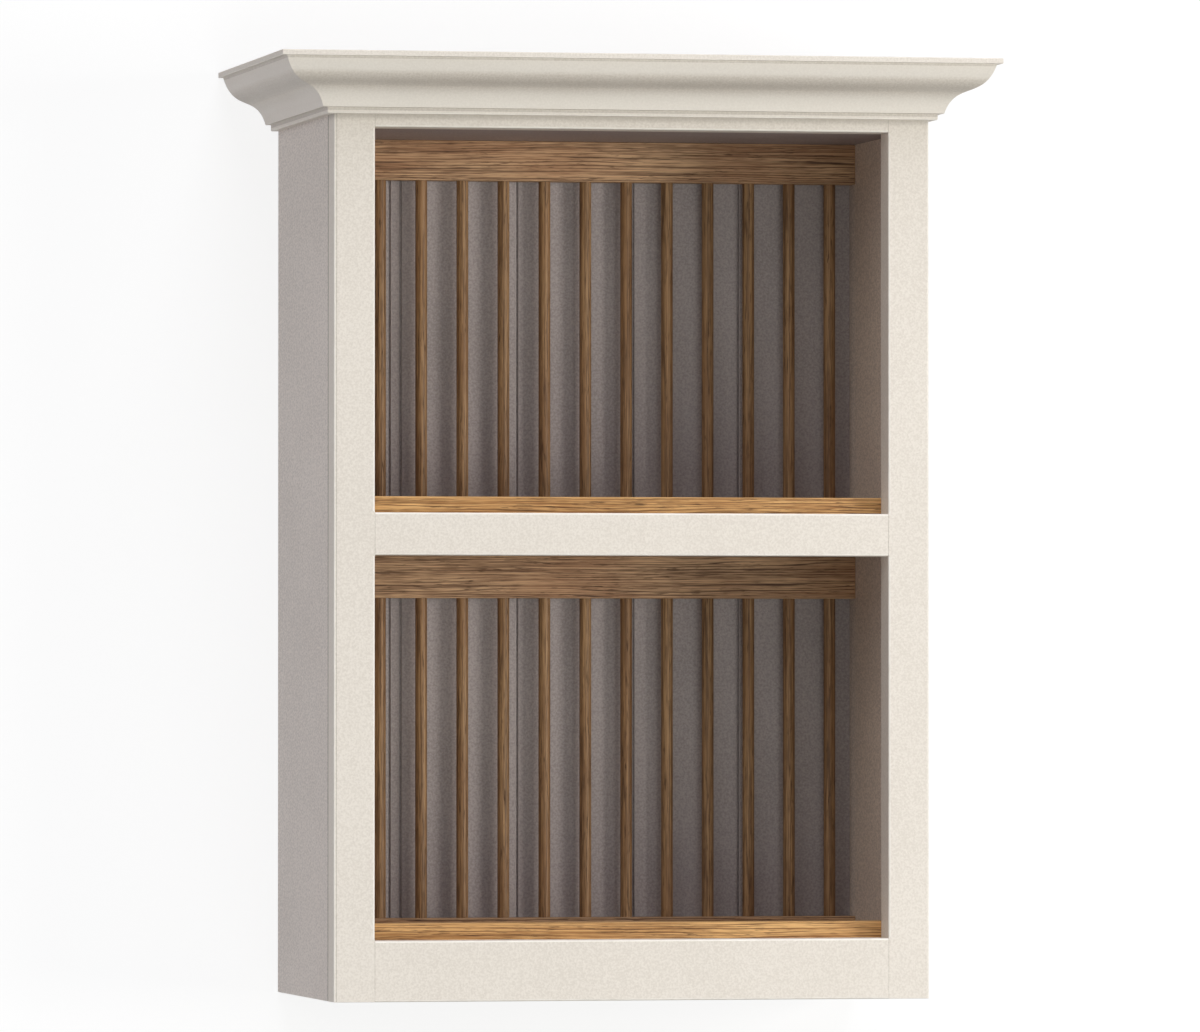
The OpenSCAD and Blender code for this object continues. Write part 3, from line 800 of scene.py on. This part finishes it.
def stileOutline(low, high, side, innerArris, innerMark=1.0):
    outer, inner = outerInner(low, high, side)
    chamfer = stile["sideChamfer"]
    corners = [(outer, low.y), (inner, low.y), (inner, high.y), (outer - side * chamfer, high.y),
               (outer, high.y - chamfer)]
    radii = [stile["outerRound"], innerArris, stile["backArris"], 0, stile["sideArris"]]
    seams, grooves = {1: innerMark}, {3: stile["sideShade"]}
    if side < 0:  # a hairline, painted dark as shade, shows beside the outer edge of the left one
        start, wide, deep = stile["edgeLine"]
        corners[1:1] = [(outer + start, low.y), (outer + start + wide / 2, low.y + deep),
                        (outer + start + wide, low.y)]
        radii[1:1] = [0, 0, 0]
        seams = {4: innerMark}
        grooves = {1: stile["edgeLineDust"], 2: stile["edgeLineDust"], 6: stile["sideShade"]}
    return softOutline(corners, radii, stile["steps"], seams, grooves)


for side, name in ((-1, "left_stile"), (1, "right_stile")):
    low, high = lowHigh(name)
    wide, wideMarks = stileOutline(low, high, side, stile["openingArris"])
    tight, tightMarks = stileOutline(low, high, side, stile["jointArris"], stile["jointDust"])
    openings = []
    for below, above in zip(railNames, railNames[1:]):
        bottom, top = lowHigh(below)[1].z, lowHigh(above)[0].z
        openings += [(bottom - joint["play"], tight, wideMarks),
                     (bottom + stile["openingEase"], wide, wideMarks),
                     (top - stile["openingEase"], wide, wideMarks), (top + joint["play"], tight)]
    bm = straightBar(tight, tightMarks, low.z, high.z, standing, stile["backArris"], middle=openings)
    length, thick, shoulder = stile["mortise"]
    middle, inner = (low.y + high.y) / 2, outerInner(low, high, side)[1]
    ends = sorted((inner + side * (length + joint["play"]), inner - side * joint["overcut"]))
    play, mortises = joint["play"], []
    for railLow, railHigh in map(lowHigh, railNames):
        mortises.append(((ends[0], middle - thick / 2 - play, railLow.z + shoulder - play),
                         (ends[1], middle + thick / 2 + play, railHigh.z - shoulder + play)))
    addPiece(name, "_painted", bm, [paintUpright], [boxCutter(*mortises)])

# rails of the face frame, tenoned into the stiles, with painted shade on their shoulders
frameRail = {
    "arris": 0.00175, "backArris": 0.0006, "shoulderArris": 0.00025, "shoulderShade": -0.3,
    "tenon": (0.025, 0.010, 0.007), "tenonArris": 0.0006, "tenonRoot": 0.0004, "steps": 5,
}
openingX = lowHigh("right_stile")[0].x
for name in railNames:
    low, high = lowHigh(name)
    radii = [frameRail["arris"], frameRail["backArris"], frameRail["backArris"], frameRail["arris"]]
    outline, marks = softOutline(endView(low, high), radii, frameRail["steps"])
    bm = straightBar(outline, marks, -openingX, openingX, lying, frameRail["shoulderArris"], steps=1,
                     endMark=frameRail["shoulderShade"])
    length, thick, shoulder = frameRail["tenon"]
    middle = (low.y + high.y) / 2
    for side in (-1, 1):
        ends = sorted((side * (openingX - frameRail["tenonRoot"]), side * (openingX + length)))
        tenon = boxBar(Vector((ends[0], middle - thick / 2, low.z + shoulder)),
                       Vector((ends[1], middle + thick / 2, high.z - shoulder)),
                       frameRail["tenonArris"], steps=1)
        addMesh(bm, asMesh("tenon", tenon))
    cutters = [screwHoles(frontFixings, screw["corniceLength"])] if name == "top_frame_rail" else []
    addPiece(name, "_painted", bm, [paintAcross], cutters)
print("face frame")

# cornice: small fillet, hollow running into a round, then the flat band along the top
cornice = {
    "out": 0.0615, "height": 0.059, "arris": 0.0007,
    # baseHighlight is a painted highlight on the fillet's lower arris
    "baseOut": 0.0075, "baseHeight": 0.0062, "baseArris": 0.0012, "baseHighlight": 0.5,
    "shadowDrop": 0.0030, "overhangShade": -0.22,  # painted shade on the upper part of the fillet, under the hollow
    "curveStart": 0.013, "curveOut": (0.21, 0.75), "curveUp": (0.68, 0.24), "curveSteps": 44,
    "curveArris": 0.0005,
    # painted highlight on the lower part of the curve and below the band
    "rubbed": 0.62, "rubbedBelow": 0.40, "rubbedAbove": 0.78, "rubbedFade": 0.1,
    "downShade": (0.57, 0.22, 0.25),  # painted shade where the curve faces down: middle, reach and depth
    # painted shade in the corner right under the band
    "bandHeight": 0.0055, "bandLip": 0.005, "bandShade": -0.12, "bandShadeFrom": 0.97,
    "cuts": (0, 0.25, 0.5, 0.75, 1),  # shares of the length
    "steps": 4,
}


# the mark at t along the curve: painted highlight near the lower lip and below the band, painted shade
# between where the curve faces down, and in the corner under the band
def corniceMark(t):
    if t > cornice["bandShadeFrom"]:
        return cornice["bandShade"]
    middle, reach, depth = cornice["downShade"]
    downShade = depth * max(0.0, 1 - ((t - middle) / reach) ** 2)
    low, high = 1 - t / cornice["rubbedBelow"], (t - cornice["rubbedAbove"]) / cornice["rubbedFade"]
    return min(cornice["rubbed"], max(0.0, low, high)) - downShade


def corniceOutline():
    out, height, base, baseHeight = (cornice[key] for key in ("out", "height", "baseOut", "baseHeight"))
    run = out - cornice["bandLip"] - cornice["curveStart"]
    rise = height - cornice["bandHeight"] - baseHeight
    points = [(0, 0), (base, 0), (base, baseHeight - cornice["shadowDrop"]), (base, baseHeight)]
    radii = [0, cornice["baseArris"], 0, cornice["arris"]]
    marks = {1: cornice["baseHighlight"], 2: cornice["overhangShade"], 3: cornice["overhangShade"]}
    for step in range(cornice["curveSteps"] + 1):
        t = step / cornice["curveSteps"]
        u, v = (3 * (1 - t) ** 2 * t * first + 3 * (1 - t) * t ** 2 * second + t ** 3
                for first, second in (cornice["curveOut"], cornice["curveUp"]))
        marks[len(points)] = corniceMark(t)
        points.append((cornice["curveStart"] + run * u, baseHeight + rise * v))
        radii.append(cornice["curveArris"] if step == 0 else 0)
    points += [(out, height - cornice["bandHeight"]), (out, height), (0, height)]
    radii += [cornice["arris"], cornice["arris"], 0]
    return softOutline(points, radii, cornice["steps"], {3: cornice["overhangShade"]}, marks)


frontY = lowHigh("top_frame_rail")[0].y
halfWidth = lowHigh("right_side_panel")[1].x


# alongX is the share of the way from the middle to the mitre, and alongY from the wall to it
def mitred(out, up, alongX, alongY):
    return alongX * (halfWidth + out), alongY * (frontY - out), corniceLow + up


outline, marks = corniceOutline()
bm = barMesh([(2 * s - 1, outline) for s in cornice["cuts"]], marks,
             lambda out, up, s: mitred(out, up, s, 1))
addPiece("front_cornice", "_moulded", bm, [paintAcross])
for side, name in ((-1, "left_cornice"), (1, "right_cornice")):
    bm = barMesh([(s, outline) for s in cornice["cuts"]], marks,
                 lambda out, up, s, side=side: mitred(out, up, side, s))
    addPiece(name, "_moulded", bm, [paintDeep])
print("cornice")

# oak rails: the front ones keep the plates in, the drilled ones hold the dowels
oakRail = {
    "arris": 0.0012, "countersink": 0.0006, "holeClearance": 0.0001, "holeDepth": 0.015, "holeSides": 40,
}


def dowelHoles(surfaceZ, turn=0.0):
    holes = bmesh.new()
    radius = (dowelHigh.x - dowelLow.x) / 2 + oakRail["holeClearance"]
    sink = oakRail["countersink"]
    for x in dowelXs:
        turned(holes, [(-oakRail["holeDepth"], radius), (-sink, radius), (sink, radius + 2 * sink)],
               aimed(x, dowelY, surfaceZ, turn), oakRail["holeSides"])
    return holes


for kind in ("front_rail", "base_rail", "top_rail"):
    for bay in ("lower", "upper"):
        name = "%s_%s" % (bay, kind)
        low, high = lowHigh(name)
        finish, cutters = oakAcross, []
        if kind == "front_rail":
            finish = oakFront
        elif kind == "base_rail":
            cutters = [dowelHoles(high.z)]
        else:
            cutters = [dowelHoles(low.z, halfTurn)]
        addPiece(name, "_oak", boxBar(low, high, oakRail["arris"]), [finish], cutters)
print("oak rails")

# dowels, turned by hand so that no two are quite the same
dowel = {"chamfer": 0.0012, "waver": 0.00004, "rings": 12, "sides": 40, "seed": 4, "turn": 6.28}
draw = random.Random(dowel["seed"])
for bay in ("lower", "upper"):
    for number in range(1, 14):
        name = "%s_dowel_%02d" % (bay, number)
        low, high = lowHigh(name)
        radius, length = (high.x - low.x) / 2, high.z - low.z
        chamfer = dowel["chamfer"]
        rings = [(0, radius - chamfer), (chamfer, radius)]
        for step in range(1, dowel["rings"]):
            rings.append((length * step / dowel["rings"], radius - dowel["waver"] * draw.random()))
        rings += [(length - chamfer, radius), (length, radius - chamfer)]
        turn = draw.uniform(0, dowel["turn"])
        matrix = aimed((low.x + high.x) / 2, (low.y + high.y) / 2, low.z, turn, "Z")
        bm = bmesh.new()
        turned(bm, rings, matrix, dowel["sides"])
        addPiece(name, "_oak", bm, [oakUpright])
print("dowels")

for name, matrices in screwPlaces.items():
    pattern = screwMesh(screw["corniceLength" if name == "cornice_screws" else "panelLength"])
    bm = bmesh.new()
    for matrix in matrices:
        copy = pattern.copy()
        copy.transform(matrix)
        addMesh(bm, copy)
    addPiece(name, "_zinc", bm, [screwZinc])
print("screws")

# wall and floor: each is seen from its front only, and the wall is white apart from the shadow on it
stage = {
    "wallY": 0.001, "floorZ": -2.3, "reach": 30.0,
    "wallGlow": 0.80, "wallTone": 0.24, "floorGlow": 0.62, "floorTone": 0.40,
}


def stageFinish(name, glow, tone):
    finish, tree, output = emptyFinish(name)
    paper = addNode(tree, "ShaderNodeBsdfDiffuse", Color=(tone, tone, tone, 1))
    light = addNode(tree, "ShaderNodeEmission", Color=(1, 1, 1, 1), Strength=glow)
    both = addNode(tree, "ShaderNodeAddShader", in0=paper.outputs[0], in1=light.outputs[0])
    clear = addNode(tree, "ShaderNodeBsdfTransparent")
    behind = addNode(tree, "ShaderNodeNewGeometry").outputs["Backfacing"]
    pick = addNode(tree, "ShaderNodeMixShader", in0=behind, in1=both.outputs[0], in2=clear.outputs[0])
    tree.links.new(pick.outputs[0], output.inputs[0])
    return finish


def stagePlane(name, corners, finish):
    bm = bmesh.new()
    bm.faces.new([bm.verts.new(corner) for corner in corners])
    plane = asObject(name, bm)
    plane.data.materials.append(finish)
    plane.visible_shadow = plane.visible_diffuse = plane.visible_glossy = plane.visible_transmission = False


reach, wallY, floorZ = stage["reach"], stage["wallY"], stage["floorZ"]
stagePlane("wall", [(-reach, wallY, floorZ), (reach, wallY, floorZ), (reach, wallY, reach),
                    (-reach, wallY, reach)],
           stageFinish("wallWhite", stage["wallGlow"], stage["wallTone"]))
stagePlane("floor", [(-reach, -reach, floorZ), (reach, -reach, floorZ), (reach, wallY, floorZ),
                     (-reach, wallY, floorZ)],
           stageFinish("floorPale", stage["floorGlow"], stage["floorTone"]))

# soft light: a near lamp at the right front, and far ones at the left front, above, below and at the left
lights = {
    "right": {"azimuth": 43, "elevation": 0, "spread": 22, "strength": 1.47, "colour": (1.00, 0.97, 0.92),
              "distance": 5.0},
    "left": {"azimuth": -45, "elevation": 25, "spread": 30, "strength": 0.33, "colour": (1.00, 0.98, 0.96)},
    "above": {"azimuth": 0, "elevation": 60, "spread": 40, "strength": 1.60, "colour": (0.90, 0.92, 1.00)},
    "below": {"azimuth": 0, "elevation": -25, "spread": 40, "strength": 0.73, "colour": (0.96, 1.00, 0.97)},
    "wallSide": {"azimuth": -90, "elevation": -10, "spread": 40, "strength": 0.49,
                 "colour": (1.00, 0.93, 1.00)},
}
surround = {"colour": (1.0, 0.97, 0.94), "strength": 0.14, "aim": (0.0, -0.2, -0.43), "farDistance": 3.0}
for name, lamp in lights.items():
    distance = lamp.get("distance")
    data = bpy.data.lights.new(name, "AREA" if distance else "SUN")
    data.color = lamp["colour"]
    spread = math.radians(lamp["spread"])
    if distance:  # near enough for its own side of the cabinet to be a little brighter
        data.shape, data.size = "DISK", 2 * distance * math.tan(spread / 2)
        data.energy = lamp["strength"] * math.pi * distance ** 2
    else:
        data.energy, data.angle = lamp["strength"], spread
    source = bpy.data.objects.new(name, data)
    around, up = math.radians(lamp["azimuth"]), math.radians(lamp["elevation"])
    towards = Vector((math.sin(around) * math.cos(up), -math.cos(around) * math.cos(up), math.sin(up)))
    source.location = Vector(surround["aim"]) + towards * (distance or surround["farDistance"])
    source.rotation_euler = towards.to_track_quat("Z", "Y").to_euler()
    bpy.context.scene.collection.objects.link(source)

world = bpy.data.worlds.new("surround")
bpy.context.scene.world = world
world.use_nodes = True
tree = world.node_tree
tree.nodes.clear()
output = tree.nodes.new("ShaderNodeOutputWorld")
rays = tree.nodes.new("ShaderNodeLightPath")
white = addNode(tree, "ShaderNodeBackground", Color=(1, 1, 1, 1), Strength=1.0)
ambient = addNode(tree, "ShaderNodeBackground", Color=(*surround["colour"], 1),
                  Strength=surround["strength"])
seen = sums(tree, "MAXIMUM", rays.outputs["Is Camera Ray"],
            sums(tree, "MAXIMUM", rays.outputs["Is Glossy Ray"], rays.outputs["Is Transmission Ray"]))
pick = addNode(tree, "ShaderNodeMixShader", in0=seen, in1=ambient.outputs[0], in2=white.outputs[0])
tree.links.new(pick.outputs[0], output.inputs[0])
print("light and stage")

# long lens, a little below the middle of the cabinet and to its left
view = {
    "place": (-1.96905, -9.74598, -0.57640), "turn": 11.61, "tilt": 0.92,
    "lens": 292.44, "sensor": 36.0, "near": 0.1, "far": 100,
}
cameraData = bpy.data.cameras.new("camera")
cameraData.lens, cameraData.sensor_width, cameraData.sensor_fit = view["lens"], view["sensor"], "HORIZONTAL"
cameraData.clip_start, cameraData.clip_end = view["near"], view["far"]
camera = bpy.data.objects.new("camera", cameraData)
camera.location = view["place"]
camera.rotation_euler = (math.radians(90 + view["tilt"]), 0, math.radians(-view["turn"]))
bpy.context.scene.collection.objects.link(camera)
bpy.context.scene.camera = camera
bpy.context.scene.view_settings.view_transform = "Standard"

print("pieces made:", len(made))
